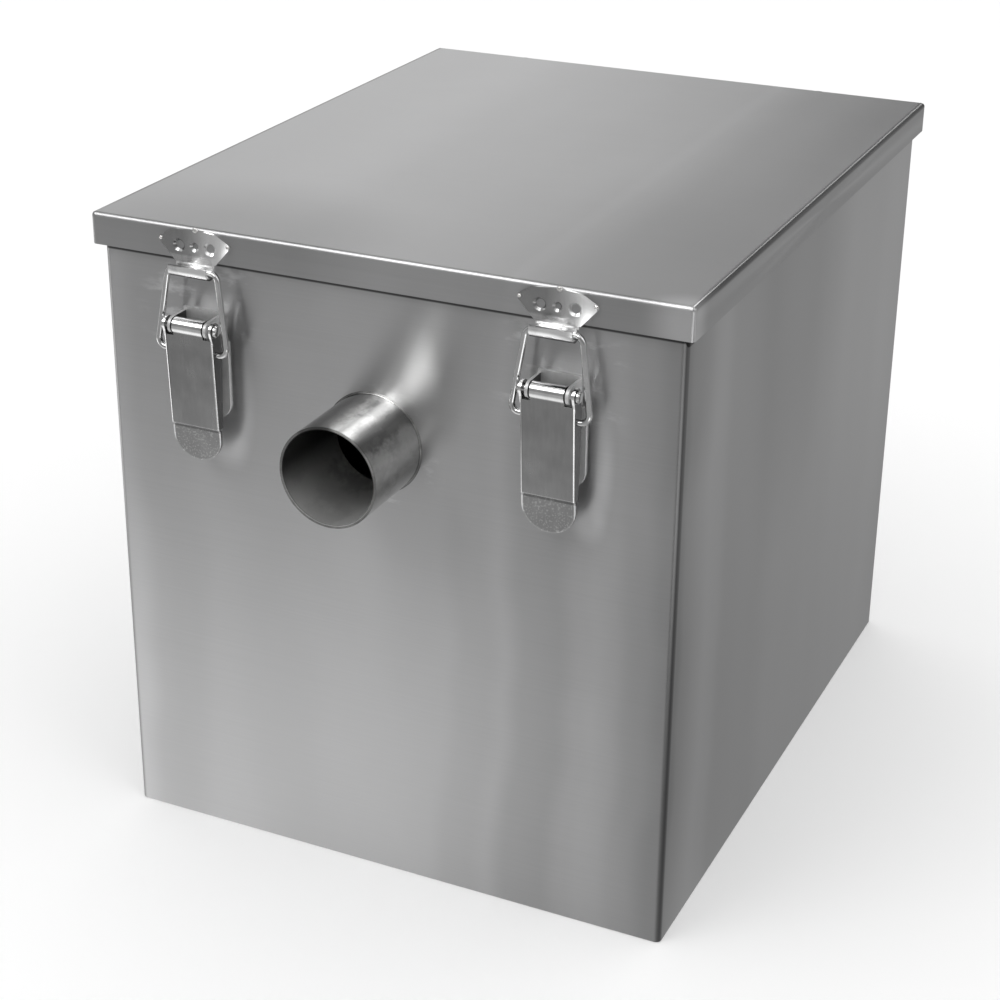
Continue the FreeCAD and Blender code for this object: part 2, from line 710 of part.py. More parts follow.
def latch_bail(name, x, turned):
    """The wire bail: one rod with four bends, its ends turned into the lever's flanges."""
    body = new_body(name + "_bail")
    path = new_sketch(body, "XZ_Plane", offset=PIVOT_OUT, shift=("0", "-%s" % PIVOT_DROP), tilt=BAIL_LEAN)
    end_x = "(%s - lever_sheet - bail_end_proud)" % LEVER_HALF
    foot = Vector(value("bail_foot_half - bail_bend"), value("bail_bend"), 0)
    head = Vector(value("bail_top_half - bail_bend"), value("bail_length - bail_bend"), 0)
    bend = value("bail_bend")
    slope = math.atan2(foot.x - head.x, head.y - foot.y)
    spread = Vector(math.cos(slope), math.sin(slope), 0) * bend
    mirror_x = lambda spot: Vector(-spot.x, spot.y, 0)
    line = lambda start, end: sketch_line(path, start, end)
    right_foot, right_head = foot + spread, head + spread
    end_line = line(Vector(value(end_x), 0, 0), Vector(foot.x, 0, 0))
    foot_arc = sketch_arc(path, foot, bend, -math.pi / 2, slope)
    leg = line(right_foot, right_head)
    head_arc = sketch_arc(path, head, bend, slope, math.pi / 2)
    bar = line(Vector(head.x, head.y + bend, 0), Vector(-head.x, head.y + bend, 0))
    far_head_arc = sketch_arc(path, mirror_x(head), bend, math.pi / 2, math.pi - slope)
    far_leg = line(mirror_x(right_head), mirror_x(right_foot))
    far_foot_arc = sketch_arc(path, mirror_x(foot), bend, math.pi - slope, 1.5 * math.pi)
    far_end = line(Vector(-foot.x, 0, 0), Vector(-value(end_x), 0, 0))
    chain = [end_line, foot_arc, leg, head_arc, bar, far_head_arc, far_leg, far_foot_arc, far_end]
    for first, second in zip(chain, chain[1:]):
        path.addConstraint(Constraint("Tangent", first, 2, second, 1))
    for arc in (foot_arc, head_arc, far_head_arc, far_foot_arc):
        fix_size(path, "Radius", arc, "bail_bend")
    for arc, sign, half, level in ((foot_arc, "", "bail_foot_half", "bail_bend"),
                                   (head_arc, "", "bail_top_half", "bail_length - bail_bend"),
                                   (far_head_arc, "-", "bail_top_half", "bail_length - bail_bend"),
                                   (far_foot_arc, "-", "bail_foot_half", "bail_bend")):
        pin_coordinate(path, "X", arc, 3, "%s(%s - bail_bend)" % (sign, half))
        pin_coordinate(path, "Y", arc, 3, level)
    path.addConstraint(Constraint("Horizontal", end_line))
    path.addConstraint(Constraint("Horizontal", far_end))
    pin_coordinate(path, "X", end_line, 1, end_x)
    pin_coordinate(path, "X", far_end, 2, "-%s" % end_x)
    section = new_sketch(body, "YZ_Plane", offset=end_x)
    add_circle(section, "-%s" % PIVOT_OUT, "-%s" % PIVOT_DROP, WIRE_RADIUS)
    doc.recompute()
    wire = body.newObject("PartDesign::AdditivePipe", name + "_wire")
    wire.Profile = section
    wire.Spine = (path, ["Edge%d" % number for number in range(1, len(chain) + 1)])
    latch_seat(body, x, turned)
    return body


def sketch_line(sketch, start, end):
    """A line in a sketch, by number."""
    return sketch.addGeometry(Part.LineSegment(start, end), False)


def sketch_arc(sketch, centre, radius, begin, finish):
    """An anticlockwise arc in a sketch, by number."""
    circle = Part.Circle(centre, Vector(0, 0, 1), radius)
    return sketch.addGeometry(Part.ArcOfCircle(circle, begin, finish), False)


def latch_keeper(name, x, turned):
    """The butterfly plate on the lid's skirt, rolled at its foot into a hook that opens upward."""
    body = new_body(name + "_keeper")
    drop = "keeper_neck_drop + hook_drop"
    far = "(keeper_sheet + 2 * hook_radius)"
    lip = "(2 * keeper_sheet + 2 * hook_radius)"
    hook = new_sketch(body, "YZ_Plane")
    add_outline(hook, [
        ("0", "-keeper_neck_drop"),
        ("0", "-(%s)" % drop),
        ("-%s" % lip, "-(%s)" % drop),
        ("-%s" % lip, "hook_lip - hook_radius - (%s)" % drop),
        ("-%s" % far, "hook_lip - hook_radius - (%s)" % drop),
        ("-%s" % far, "-(%s)" % drop),
        ("-keeper_sheet", "-(%s)" % drop),
        ("-keeper_sheet", "-keeper_neck_drop"),
    ], {1: ("-keeper_sheet - hook_radius", "-(%s)" % drop, False),
        5: ("-keeper_sheet - hook_radius", "-(%s)" % drop, True)})
    pad(body, hook, "2 * hook_half", both_ways=True)
    outline = new_sketch(body, "XZ_Plane")
    ear_top = "-keeper_ear_drop - keeper_top_gap"
    ear_low = "-keeper_ear_drop - keeper_top_gap - keeper_ear_flat"
    shoulder = "-keeper_shoulder_drop - keeper_top_gap"
    add_outline(outline, [
        ("-keeper_neck_half", "-keeper_neck_drop"),
        ("keeper_neck_half", "-keeper_neck_drop"),
        ("keeper_half_width", ear_low),
        ("keeper_half_width", ear_top),
        ("keeper_shoulder_half", shoulder),
        ("0", "-keeper_top_gap"),
        ("-keeper_shoulder_half", shoulder),
        ("-keeper_half_width", ear_top),
        ("-keeper_half_width", ear_low),
    ])
    plate = pad(body, outline, "keeper_sheet")
    shoulder_height = value(shoulder)
    plate = round_edges(body, plate, "keeper_round", lambda edge, ends: (
        is_along("y")(edge, ends) and abs(ends[0].z - shoulder_height) < 1e-6))
    holes = new_sketch(body, "XZ_Plane")
    for across, size in (("-keeper_hole_pitch", "keeper_hole"), ("0", "keeper_middle_hole"),
                         ("keeper_hole_pitch", "keeper_hole")):
        add_circle(holes, across, "-keeper_hole_drop", "(%s / 2)" % size)
    drilled = pocket(body, holes, turned=True)
    front = -value("keeper_sheet")
    bevel_edges(body, drilled, "countersink", lambda edge, ends: (
        isinstance(edge.Curve, Part.Circle) and len(ends) == 1 and abs(ends[0].y - front) < 1e-6))
    side = "lid_depth / 2" if turned else "-lid_depth / 2"
    seat(body, x=x, y=side, z="overall_height", turned=turned)
    return body


parts = [
    tank_shell(),
    lid(),
    lid_gasket(),
    pipe("inlet_pipe", "pipe_inside", "inlet_height", False),
    pipe("outlet_pipe", OUTLET_INSIDE, OUTLET_HEIGHT, True),
    dip_tube(),
    baffle("weir_baffle", "weir_position", "sheet", "weir_height"),
    baffle("hanging_baffle", "hanging_position", "hanging_floor_gap", "%s - hanging_top_gap" % TANK_HEIGHT),
    strainer_basket(),
    basket_handle(),
    basket_rail("basket_rail_left", "-"),
    basket_rail("basket_rail_right", "+"),
]
for wall, turned in (("front", False), ("back", True)):
    for hand, sign in (("left", "-"), ("right", "+")):
        latch = "%s_%s_latch" % (wall, hand)
        across = "latch_offset %s %s" % (sign, LATCH_SPREAD)
        for piece in (latch_base, latch_pin, latch_lever, latch_bail, latch_keeper):
            parts.append(piece(latch, across, turned))

doc.recompute()

for item in doc.Objects:
    if {"Invalid", "Error"} & set(item.State):
        raise RuntimeError("%s failed: %s" % (item.Label, item.State))
for part in parts:
    if part.Shape.isNull() or not part.Shape.isValid() or len(part.Shape.Solids) != 1:
        raise RuntimeError("%s is not one valid solid" % part.Label)

os.makedirs("parts", exist_ok=True)
for part in parts:
    part.Shape.exportStep("parts/%s.step" % part.Label)
    print(part.Label, round(part.Shape.Volume, 1))
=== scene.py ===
"""Looks for the grease trap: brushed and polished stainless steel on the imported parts, in a plain studio."""
import json
import math

import bmesh
import bpy
from mathutils import Matrix, Vector, noise


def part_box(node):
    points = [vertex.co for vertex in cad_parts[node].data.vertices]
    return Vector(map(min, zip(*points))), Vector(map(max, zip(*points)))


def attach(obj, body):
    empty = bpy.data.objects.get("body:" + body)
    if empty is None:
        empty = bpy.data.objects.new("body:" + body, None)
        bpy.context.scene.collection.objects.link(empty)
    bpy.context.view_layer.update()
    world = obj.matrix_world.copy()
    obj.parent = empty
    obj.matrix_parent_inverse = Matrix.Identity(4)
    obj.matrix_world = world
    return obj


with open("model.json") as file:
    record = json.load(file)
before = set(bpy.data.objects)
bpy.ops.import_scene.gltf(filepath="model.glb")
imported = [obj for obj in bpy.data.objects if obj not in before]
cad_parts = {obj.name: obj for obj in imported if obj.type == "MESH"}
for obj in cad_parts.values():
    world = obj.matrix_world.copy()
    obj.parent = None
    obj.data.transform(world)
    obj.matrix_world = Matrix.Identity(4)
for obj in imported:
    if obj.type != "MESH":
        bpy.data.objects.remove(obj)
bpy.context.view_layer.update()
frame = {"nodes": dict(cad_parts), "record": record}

# Places on the trap, in metres, with the front toward -Y. A pair says where a soft change begins and ends.
WALL_Y = 0.185                   # outer face of the front and back walls
LID_TOP = 0.332
SIDE_FACE = (0.1485, 0.1495)     # |X| from which a point of the tank is on a side wall
FRONT_FACE = (0.1815, 0.184)     # |Y| from which it is on the front or back wall
CORNER_X = (0.1465, 0.149)       # |X| of the shade along the folded corners
CORNER_Z = (0.1, 0.315)          # height over which that shade grows lighter
SKIRT_SHADE_Z = 0.3129                  # height from which the front wall gets a painted shadow under the lid's skirt
SKIRT_SHADE_SIDE_DROP = -0.0018         # how much lower that is on the side walls
SKIRT_SHADE_BLUR = 0.0008               # height over which it turns dark
FOLD_X = (0.1505, 0.152)         # |X| of the lid's long folded edges
FOLD_Z = (0.329, 0.3305)
FOLD_Y = (-0.188, -0.15)         # along the lid, where the painted shade on those edges grows darker
PIPE_INSIDE = (0.0237, 0.0241)   # radius from the pipe's inner to its outer face
WELD_RING = (0.02502, 0.02515)   # radius from its outer face to the weld

WHITE = (1, 1, 1, 1)
SHEET_GREY = (0.49, 0.49, 0.493)


# Node helpers

class Nodes:
    """A material's or world's node tree with short calls for adding and linking."""

    def __init__(self, owner):
        owner.use_nodes = True
        self.tree = owner.node_tree
        self.tree.nodes.clear()

    def add(self, kind, inputs=None, **settings):
        """A node with its settings and inputs; an input is a value or another node's output."""
        node = self.tree.nodes.new(kind)
        for name, setting in settings.items():
            setattr(node, name, setting)
        for name, source in (inputs or {}).items():
            self.feed(node.inputs[name], source)
        return node

    def feed(self, socket, source):
        if isinstance(source, bpy.types.NodeSocket):
            self.tree.links.new(source, socket)
        else:
            socket.default_value = source

    def math(self, operation, *values, clamp=False):
        return self.add("ShaderNodeMath", dict(enumerate(values)), operation=operation, use_clamp=clamp).outputs[0]

    def apart(self, value, middle):
        """How far a value is from another, without its sign."""
        return self.math("ABSOLUTE", self.math("SUBTRACT", value, middle))

    def noise(self, vector, scale, detail=2.0, roughness=0.5):
        node = self.add("ShaderNodeTexNoise", {"Vector": vector, "Scale": scale, "Detail": detail,
                                               "Roughness": roughness})
        return node.outputs[0]

    def grain(self, place, scale):
        """Fine noise with its own scale along X, Y and Z: small along the grain, large across it."""
        return self.noise(self.stretched(place, scale), 1.0, 3.0, 0.6)

    def stretched(self, vector, scale, shift=(0, 0, 0)):
        node = self.add("ShaderNodeMapping", {"Vector": vector, "Scale": scale, "Location": shift})
        return node.outputs[0]

    def fade(self, value, low, high, to_low=0.0, to_high=1.0):
        """A smooth step of value from to_low at low to to_high at high."""
        node = self.add("ShaderNodeMapRange", {"Value": value, "From Min": low, "From Max": high,
                                               "To Min": to_low, "To Max": to_high},
                        interpolation_type="SMOOTHSTEP")
        return node.outputs[0]

    def split(self, vector):
        """A vector's X, Y and Z."""
        return self.add("ShaderNodeSeparateXYZ", {"Vector": vector}).outputs[:3]

    def upright(self, x, z):
        """A point's X and Z, with Y left at 0."""
        return self.add("ShaderNodeCombineXYZ", {"X": x, "Z": z}).outputs[0]

    def distance(self, vector, point):
        node = self.add("ShaderNodeVectorMath", {0: vector, 1: point}, operation="DISTANCE")
        return node.outputs["Value"]

    def place(self):
        return self.add("ShaderNodeTexCoord").outputs["Object"]

    def facing(self):
        """The flat face's own direction."""
        return self.add("ShaderNodeNewGeometry").outputs["True Normal"]

    def tint(self, factor, low, high):
        """A colour between two colours."""
        node = self.add("ShaderNodeMix", data_type="RGBA")
        self.feed(node.inputs[0], factor)
        self.feed(node.inputs[6], (*low, 1))
        self.feed(node.inputs[7], (*high, 1))
        return node.outputs[2]

    def mottled(self, spread, tone, low, high):
        """A tone times low to high, as a noise says."""
        return self.tint(self.fade(spread, 0.3, 0.7), [low * part for part in tone], [high * part for part in tone])

    def shaded(self, colour, factor):
        """A colour multiplied by a number."""
        node = self.add("ShaderNodeVectorMath", {0: colour}, operation="SCALE")
        self.feed(node.inputs["Scale"], factor)
        return node.outputs[0]

    def toned(self, colour, mask, change):
        """A colour made lighter or darker by a share of itself where a mask is 1."""
        return self.shaded(colour, self.math("MULTIPLY_ADD", mask, change, 1.0))

    def bump(self, height, strength, distance, over=None):
        """A normal with a height's relief, over another normal if one is given."""
        inputs = {"Height": height, "Strength": strength, "Distance": distance}
        if over is not None:
            inputs["Normal"] = over
        return self.add("ShaderNodeBump", inputs).outputs[0]

    def choose(self, factor, first, second):
        """The first shader where factor is 0, the second where it is 1."""
        return self.add("ShaderNodeMixShader", {0: factor, 1: first, 2: second}).outputs[0]


def finish_material(nodes, **inputs):
    """Close a material with a Principled shader; a space in an input's name is written as _."""
    named = {name.replace("_", " "): source for name, source in inputs.items()}
    shader = nodes.add("ShaderNodeBsdfPrincipled", named)
    nodes.add("ShaderNodeOutputMaterial", {"Surface": shader.outputs[0]})


def new_material(name):
    material = bpy.data.materials.new(name)
    return material, Nodes(material)


def corners(node):
    """A CAD node's lowest and highest corner."""
    return (Vector(corner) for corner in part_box(node))


# Materials

def stripes(nodes, along, strips):
    """A sum of soft stripes across a coordinate: each a middle, two half widths and a strength."""
    level = 0.0
    for middle, inner, outer, strength in strips:
        level = nodes.math("ADD", level, nodes.fade(nodes.apart(along, middle), inner, outer, strength, 0.0))
    return level


def patches(nodes, place, spots):
    """A sum of soft round patches: each a middle, its reach along X, Y and Z, and a strength."""
    level = 0.0
    for middle, reach, strength in spots:
        scale = [1 / part for part in reach]
        shift = [-part / size for part, size in zip(middle, reach)]
        off = nodes.distance(nodes.stretched(place, scale, shift), (0, 0, 0))
        level = nodes.math("ADD", level, nodes.fade(off, 0.2, 1.0, strength, 0.0))
    return level


def front_patch(x, z, wide, tall, strength):
    """A patch of painted light (positive strength) or shade (negative) on the front wall: its middle, its reach
    along X and Z, and its strength.
    """
    return (x, -WALL_Y, z), (wide, 0.05, tall), strength


def brushed_steel(name, tone, grain, wave, tangent, turn, roughness=0.30, anisotropy=0.85, ripple=0.0007,
                  across=(), deep=(), worn=(), spots=(), skirt_and_corner_shade=False, bend=False):
    """Sheet steel with a fine directional grain, soft bands from rolling, handling smudges and a slight ripple.

    grain and wave scale the noise along X, Y and Z: small along the grain, large across it. across and deep are
    soft stripes of painted reflection and shade over X and over Y. worn lists places with weld and handling marks:
    X, Z and two radii. spots are soft round patches of painted light and shade. skirt_and_corner_shade paints the
    shadow line on the wall under the lid's skirt, and soft shade along the folded corners. bend paints shade on the
    lid's long folded edges, darker away from the front.
    """
    material, nodes = new_material(name)
    place = nodes.place()
    x, y, z = nodes.split(place)
    off_x = nodes.math("ABSOLUTE", x)
    fine = nodes.grain(place, grain)
    bands = nodes.noise(nodes.stretched(place, wave, (0.3, 0.7, 0.1)), 1.0, 1.0, 0.4)
    smudge = nodes.noise(nodes.stretched(place, (11, 11, 6)), 1.0, 4.0, 0.55)
    wobble = nodes.math("MULTIPLY_ADD", nodes.noise(nodes.stretched(place, (3, 3, 9)), 1.0), 0.03, -0.015)
    mixed = nodes.math("MULTIPLY_ADD", fine, 0.22, nodes.math("MULTIPLY", bands, 0.38))
    mixed = nodes.math("MULTIPLY_ADD", smudge, 0.4, mixed)
    colour = nodes.mottled(mixed, tone, 0.93, 1.06)
    on_side = nodes.fade(off_x, *SIDE_FACE)
    # The stripes over X and Y and the round patches are painted reflections, light and shade.
    if deep:
        front = stripes(nodes, nodes.math("ADD", x, wobble), across)
        side = stripes(nodes, nodes.math("ADD", y, wobble), deep)
        level = nodes.math("MULTIPLY_ADD", nodes.math("SUBTRACT", side, front), on_side, front)
    else:
        level = stripes(nodes, nodes.math("MULTIPLY_ADD", wobble, 0.3, x), across)
    level = nodes.math("ADD", level, patches(nodes, place, spots))
    colour = nodes.shaded(colour, nodes.math("ADD", level, 1.0))
    rough = nodes.math("MULTIPLY_ADD", fine, 0.06, roughness - 0.05)
    rough = nodes.math("MULTIPLY_ADD", smudge, 0.06, rough)
    if worn:
        flat = nodes.upright(x, z)
        marks = nodes.noise(nodes.stretched(place, (45, 45, 110)), 1.0, 5.0, 0.65)
        marks = nodes.math("MULTIPLY", nodes.fade(marks, 0.52, 0.66), nodes.math("SUBTRACT", 1.0, on_side))
    for middle_x, middle_z, inner, outer in worn:
        near = nodes.fade(nodes.distance(flat, (middle_x, 0, middle_z)), inner, outer, 1.0, 0.0)
        near = nodes.math("MULTIPLY", near, marks)
        colour = nodes.toned(colour, near, 0.3)
        rough = nodes.math("MULTIPLY_ADD", near, 0.06, rough)
    # Painted shadow on the wall just under the lid's skirt, and painted shade along the folded corners, darkest low
    # down.
    if skirt_and_corner_shade:
        above = nodes.math("SUBTRACT", z, nodes.math("MULTIPLY_ADD", on_side, SKIRT_SHADE_SIDE_DROP, SKIRT_SHADE_Z))
        colour = nodes.toned(colour, nodes.fade(above, 0.0, SKIRT_SHADE_BLUR), -0.8)
        on_front = nodes.fade(nodes.math("ABSOLUTE", y), *FRONT_FACE)
        corner = nodes.math("MULTIPLY", nodes.fade(off_x, *CORNER_X), on_front)
        colour = nodes.toned(colour, corner, nodes.fade(z, *CORNER_Z, -0.62, -0.5))
    # Painted shade on the lid's long folded edges, darker away from the front.
    if bend:
        fold = nodes.math("MULTIPLY", nodes.fade(off_x, *FOLD_X), nodes.fade(z, *FOLD_Z))
        colour = nodes.toned(colour, fold, nodes.fade(y, *FOLD_Y, -0.1, -0.5))
    normal = nodes.bump(fine, 0.04, 0.0002, over=nodes.bump(bands, 1.0, ripple))
    direction = nodes.add("ShaderNodeTangent", direction_type="RADIAL", axis=tangent)
    finish_material(nodes, Base_Color=colour, Metallic=1.0, Roughness=rough, Normal=normal,
                    Anisotropic=anisotropy, Anisotropic_Rotation=turn, Tangent=direction.outputs[0])
    return material


def polished_steel(name, tone, roughness, grain):
    """Bar or wire with a bright finish, fine lines from drawing and a few dull patches."""
    material, nodes = new_material(name)
    place = nodes.place()
    fine = nodes.grain(place, grain)
    patch = nodes.noise(place, 60.0, 3.0, 0.6)
    mixed = nodes.math("MULTIPLY_ADD", fine, 0.4, nodes.math("MULTIPLY", patch, 0.6))
    rough = nodes.math("MULTIPLY_ADD", fine, 0.08, roughness - 0.06)
    rough = nodes.math("MULTIPLY_ADD", patch, 0.12, rough)
    finish_material(nodes, Base_Color=nodes.mottled(mixed, tone, 0.85, 1.08), Metallic=1.0, Roughness=rough,
                    Normal=nodes.bump(fine, 0.05, 0.0002))
    return material


def pipe_steel(node):
    """Polished tube: scuffs and heat tint outside with painted highlight and shade bands, a dull inside with
    painted shade toward its top, painted shade on the mouth's rim, a grey weld ring.
    """
    material, nodes = new_material(node + "_steel")
    low, high = corners(node)
    middle = (low + high) / 2
    mouth, root = (low.y, -WALL_Y) if middle.y < 0 else (high.y, WALL_Y)
    place = nodes.place()
    x, y, z = nodes.split(place)
    off_x = nodes.math("SUBTRACT", x, middle.x)
    off_z = nodes.math("SUBTRACT", z, middle.z)
    radius = nodes.math("SQRT", nodes.math("ADD", nodes.math("MULTIPLY", off_x, off_x),
                                           nodes.math("MULTIPLY", off_z, off_z)))
    inside = nodes.fade(radius, *PIPE_INSIDE, 1.0, 0.0)
    ring = nodes.fade(radius, *WELD_RING)
    run = nodes.math("DIVIDE", nodes.math("SUBTRACT", y, mouth), root - mouth)
    lip = nodes.fade(run, 0.004, 0.02, 1.0, 0.0)
    fine = nodes.grain(place, (50, 1300, 50))
    scuff = nodes.noise(nodes.stretched(place, (70, 45, 70)), 1.0, 4.0, 0.65)

    # Angles are from the pipe's top toward +X. The heat tint stays off the lit streak at 0.4.
    angle = nodes.math("ARCTAN2", off_x, off_z)
    heat = nodes.math("MULTIPLY", nodes.fade(run, 0.35, 1.0), nodes.fade(scuff, 0.42, 0.62))
    heat = nodes.math("MULTIPLY", heat, nodes.fade(nodes.apart(angle, 0.4), 0.2, 0.6))
    # The stripes over the angle are painted: a highlight along the top and bands of shade and lighter reflection
    # beside it.
    ragged = nodes.math("MULTIPLY_ADD", scuff, 0.5, nodes.math("SUBTRACT", angle, 0.25))
    highlight_and_shade_bands = stripes(nodes, ragged, ((-0.27, 0.25, 0.5, -0.62), (0.43, 0.14, 0.26, 0.6), (0.82, 0.05, 0.18, -0.4),
                                    (1.15, 0.06, 0.26, 0.3), (1.7, 0.1, 0.4, -0.25)))

    worn = nodes.math("MULTIPLY", nodes.fade(scuff, 0.4, 0.58), nodes.math("MULTIPLY_ADD", inside, -0.6, 1.0))
    colour = nodes.tint(worn, (0.42, 0.42, 0.415), (0.6, 0.6, 0.59))
    colour = nodes.shaded(colour, nodes.math("ADD", highlight_and_shade_bands, 1.0))
    colour = nodes.toned(colour, heat, -0.45)
    colour = nodes.toned(colour, ring, -0.5)
    # Painted shade inside the tube, darker toward its top with a little painted light at its bottom, and painted
    # shade on the mouth's rim.
    colour = nodes.toned(colour, inside, nodes.fade(off_z, -0.023, 0.003, 0.12, -0.95))
    colour = nodes.toned(colour, lip, -0.35)
    rough = nodes.math("MULTIPLY_ADD", fine, 0.05, 0.07)
    for mask, more in ((heat, 0.22), (ring, 0.3), (inside, 0.3)):
        rough = nodes.math("MULTIPLY_ADD", mask, more, rough)
    metal = nodes.math("MULTIPLY_ADD", inside, -0.55, 1.0)
    relief = nodes.math("ADD", fine, nodes.math("MULTIPLY", ring, scuff))
    finish_material(nodes, Base_Color=colour, Metallic=metal, Roughness=rough,
                    Normal=nodes.bump(relief, 0.08, 0.0004))
    return material


def lever_look(nodes, low, high, place, facing_x, colour, rough):
    """The lever's edges, tongue rim, step and polished barrel with painted highlights, its flanks with painted
    shade, and its pitted tongue: colour, roughness and pits.
    """
    x, _, z = nodes.split(place)
    middle, half = (low.x + high.x) / 2, (high.x - low.x) / 2
    flank = nodes.fade(nodes.math("ABSOLUTE", facing_x), 0.8, 0.95)
    edge = nodes.fade(nodes.apart(x, middle), half - 0.0011, half - 0.0006)
    edge = nodes.math("MULTIPLY", edge, nodes.math("SUBTRACT", 1.0, flank))
    barrel = nodes.fade(z, high.z - 0.0072, high.z - 0.0064)
    tongue = nodes.fade(z, low.z + 0.0173, low.z + 0.0180, 1.0, 0.0)
    pits = nodes.math("MULTIPLY", tongue, nodes.noise(place, 1100.0, 2.0))
    reach = nodes.distance(nodes.upright(x, z), (middle, 0, low.z + 0.0134))
    rim = nodes.math("MULTIPLY", tongue, nodes.fade(reach, 0.0126, 0.0130))
    step = stripes(nodes, z, ((low.z + 0.0185, 0.0003, 0.0007, 0.6), (low.z + 0.0172, 0.0003, 0.0008, -0.4)))
    # Painted highlights on the edges, the tongue's rim, the step and the barrel; painted shade on the flanks and
    # under the step. The pale pits and the darker tongue are the metal's own tone.
    for mask, change in ((edge, 1.3), (flank, -0.6), (rim, 0.4), (nodes.fade(pits, 0.54, 0.66), 0.5),
                         (barrel, 1.3), (tongue, -0.12), (step, 1.0)):
        colour = nodes.toned(colour, mask, change)
    rough = nodes.math("MULTIPLY_ADD", barrel, -0.12, rough)
    rough = nodes.math("MULTIPLY_ADD", pits, 0.25, rough)
    return colour, rough, pits


def keeper_look(nodes, low, high, place, front, colour, swell):
    """The keeper's folds with painted highlights and shade, its buckled plate, and painted light growing toward one
    ear: colour and swell.
    """
    x, _, z = nodes.split(place)
    # Painted shade along the hook's bottom, a painted highlight across the fold above it and a fainter one higher
    # up.
    fold = stripes(nodes, z, ((low.z, 0.0014, 0.0026, -0.85), (low.z + 0.0038, 0.0016, 0.0028, 1.5),
                              (low.z + 0.0078, 0.0008, 0.0024, 0.5)))
    colour = nodes.shaded(colour, nodes.math("ADD", fold, 1.0))
    out = nodes.math("MULTIPLY_ADD", x, front, -front * (low.x + high.x) / 2)
    # Painted light growing toward one ear.
    colour = nodes.shaded(colour, nodes.fade(out, -0.008, 0.017, 0.68, 2.1))
    swell = nodes.math("MULTIPLY", swell, 0.003)
    for limit, curve in (("MAXIMUM", -20.0), ("MINIMUM", -6.0)):
        end = nodes.math(limit, out, 0.0)
        swell = nodes.math("MULTIPLY_ADD", nodes.math("MULTIPLY", end, end), curve, swell)
    return colour, swell


def latch_steel(node):
    """Pressed latch sheet with satin faces; a lever, a keeper and a base plate have their own tones and marks, and
    painted highlights and shade.
    """
    material, nodes = new_material(node + "_steel")
    low, high = corners(node)
    lever, keeper, base = (node.endswith(kind) for kind in ("lever", "keeper", "base_plate"))
    front = 1 if low.y < 0 else -1
    place = nodes.place()
    facing_x, facing_y, _ = nodes.split(nodes.facing())
    fine = nodes.grain(place, (700, 700, 90))
    patch = nodes.noise(place, 80.0, 2.0, 0.5)
    swell = nodes.noise(nodes.stretched(place, (42, 42, 30), (low.x * 7, 0, 0)), 1.0, 1.0, 0.4)
    mixed = nodes.math("MULTIPLY_ADD", fine, 0.3, nodes.math("MULTIPLY", patch, 0.7))
    tone = 0.37 if lever else 0.54 if keeper else 0.6
    colour = nodes.mottled(mixed, (tone,) * 3, 0.9, 1.08)
    rough = nodes.math("MULTIPLY_ADD", mixed, 0.12, 0.2)
    metal, relief, buckle = 1.0, fine, 0.0002
    if lever:
        colour, rough, pits = lever_look(nodes, low, high, place, facing_x, colour, rough)
        relief = nodes.math("ADD", fine, nodes.math("MULTIPLY", pits, 3.0))
    if base:
        rough = nodes.math("ADD", rough, 0.25)
        off_x = nodes.math("SUBTRACT", nodes.split(place)[0], (low.x + high.x) / 2)
        outward = nodes.math("MULTIPLY", facing_x, off_x)
        outer = nodes.fade(outward, 0.004, 0.008)
        metal = nodes.math("MULTIPLY_ADD", outer, -0.35, 0.7)
        # Painted shade on the base plate's inner side faces and painted light on its outer ones.
        colour = nodes.shaded(colour, nodes.fade(outward, -0.008, -0.004, 0.15, 1.0))
        colour = nodes.toned(colour, outer, 0.2)
    if keeper:
        rough = nodes.math("ADD", rough, -0.04)
        colour, swell = keeper_look(nodes, low, high, place, front, colour, swell)
        buckle = 1.0
    else:
        # The faces toward the wall are painted lighter and made less metallic.
        inward = nodes.fade(nodes.math("MULTIPLY", facing_y, front), 0.3, 0.6)
        metal = nodes.math("SUBTRACT", metal, nodes.math("MULTIPLY", inward, 0.5), clamp=True)
        colour = nodes.toned(colour, inward, 0.7)
    finish_material(nodes, Base_Color=colour, Metallic=metal, Roughness=rough,
                    Normal=nodes.bump(relief, 0.06, 0.0002, over=nodes.bump(swell, 1.0, buckle)))
    return material


def rubber(name):
    """Matt black rubber with a fine speck."""
    material, nodes = new_material(name)
    speck = nodes.noise(nodes.place(), 900.0, 3.0)
    finish_material(nodes, Base_Color=nodes.tint(speck, (0.02, 0.02, 0.02), (0.045, 0.045, 0.045)),
                    Roughness=nodes.math("MULTIPLY_ADD", speck, 0.2, 0.55), Normal=nodes.bump(speck, 0.2, 0.0003))
    return material


